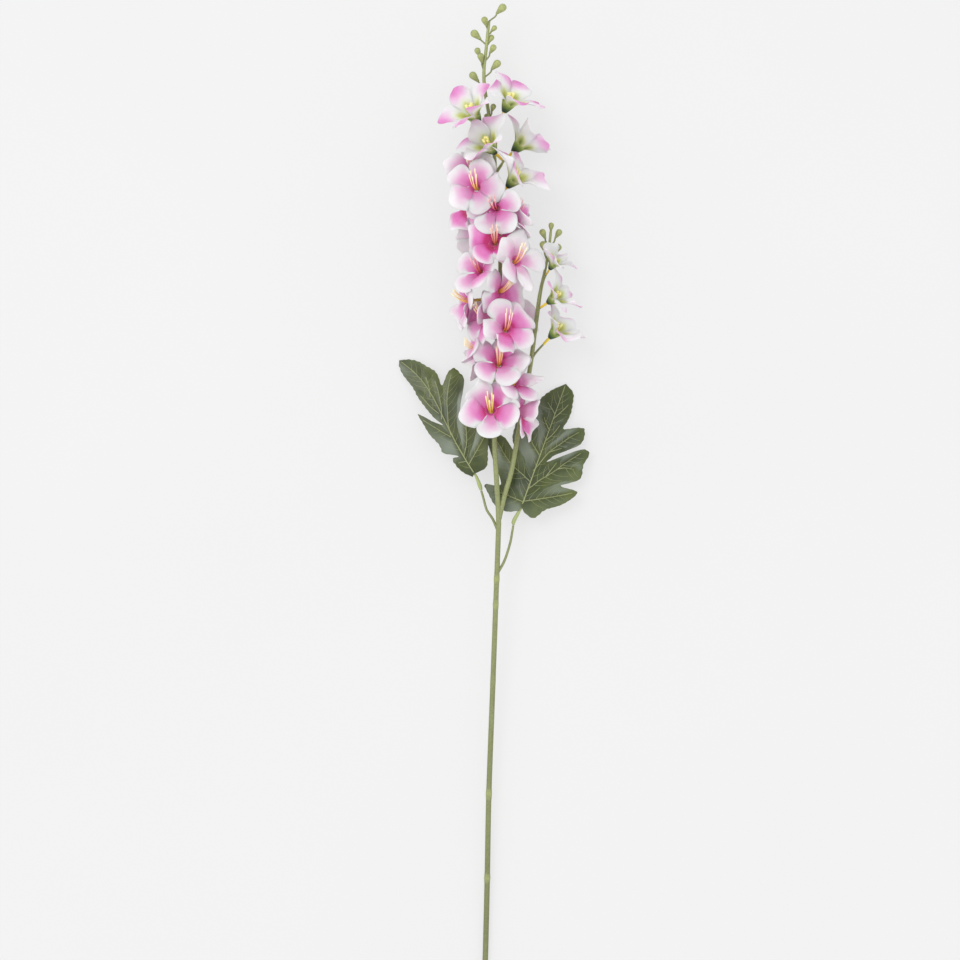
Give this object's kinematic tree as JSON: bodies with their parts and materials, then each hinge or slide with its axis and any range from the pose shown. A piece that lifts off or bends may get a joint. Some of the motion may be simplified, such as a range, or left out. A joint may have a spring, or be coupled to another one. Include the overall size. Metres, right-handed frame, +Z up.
{
  "type": "delphinium stem",
  "caption": "Artificial delphinium stem lying on its side: a spike of pink and white fabric florets, small buds, a short side branch and cut green leaves.",
  "frame": {"origin": "middle of the bounding box at its base, on the surface that the stem lies on", "axes": "+Y along the stem from the cut end to the tip of the spike, +Z up from the surface, toward the viewer of the picture, +X to the viewer's right"},
  "size_m": [0.1758, 0.9002, 0.0888],
  "materials": {
    "open_petals": "matt woven cloth, pink toward a crimson throat",
    "young_petals": "matt woven cloth, white with pink tips",
    "hearts": "moulded plastic with flocked stamens",
    "leaves": "satin-coated cloth",
    "stem": "smooth moulded plastic",
    "sockets": "smooth moulded plastic"
  },
  "bodies": {
    "root": {"floret_01_heart": "hearts", "floret_01_petals": "young_petals", "floret_02_heart": "hearts", "floret_02_petals": "young_petals", "floret_03_heart": "hearts", "floret_03_petals": "young_petals", "floret_04_heart": "hearts", "floret_04_petals": "young_petals", "floret_05_heart": "hearts", "floret_05_petals": "young_petals", "floret_06_heart": "hearts", "floret_06_petals": "open_petals", "floret_07_heart": "hearts", "floret_07_petals": "open_petals", "floret_08_heart": "hearts", "floret_08_petals": "open_petals", "floret_09_heart": "hearts", "floret_09_petals": "open_petals", "floret_10_heart": "hearts", "floret_10_petals": "open_petals", "floret_11_heart": "hearts", "floret_11_petals": "open_petals", "floret_12_heart": "hearts", "floret_12_petals": "open_petals", "floret_13_heart": "hearts", "floret_13_petals": "open_petals", "floret_14_heart": "hearts", "floret_14_petals": "open_petals", "floret_15_heart": "hearts", "floret_15_petals": "open_petals", "floret_16_heart": "hearts", "floret_16_petals": "open_petals", "floret_17_heart": "hearts", "floret_17_petals": "open_petals", "floret_18_heart": "hearts", "floret_18_petals": "open_petals", "floret_19_heart": "hearts", "floret_19_petals": "open_petals", "floret_20_heart": "hearts", "floret_20_petals": "open_petals", "floret_21_heart": "hearts", "floret_21_petals": "open_petals", "floret_22_heart": "hearts", "floret_22_petals": "open_petals", "floret_23_heart": "hearts", "floret_23_petals": "open_petals", "floret_24_heart": "hearts", "floret_24_petals": "open_petals", "leaf_left": "leaves", "leaf_right": "leaves", "side_floret_1_heart": "hearts", "side_floret_1_petals": "young_petals", "side_floret_2_heart": "hearts", "side_floret_2_petals": "young_petals", "side_floret_3_heart": "hearts", "side_floret_3_petals": "young_petals", "socket_left": "sockets", "socket_right": "sockets", "stem": "stem"}
  },
  "joints": []
}
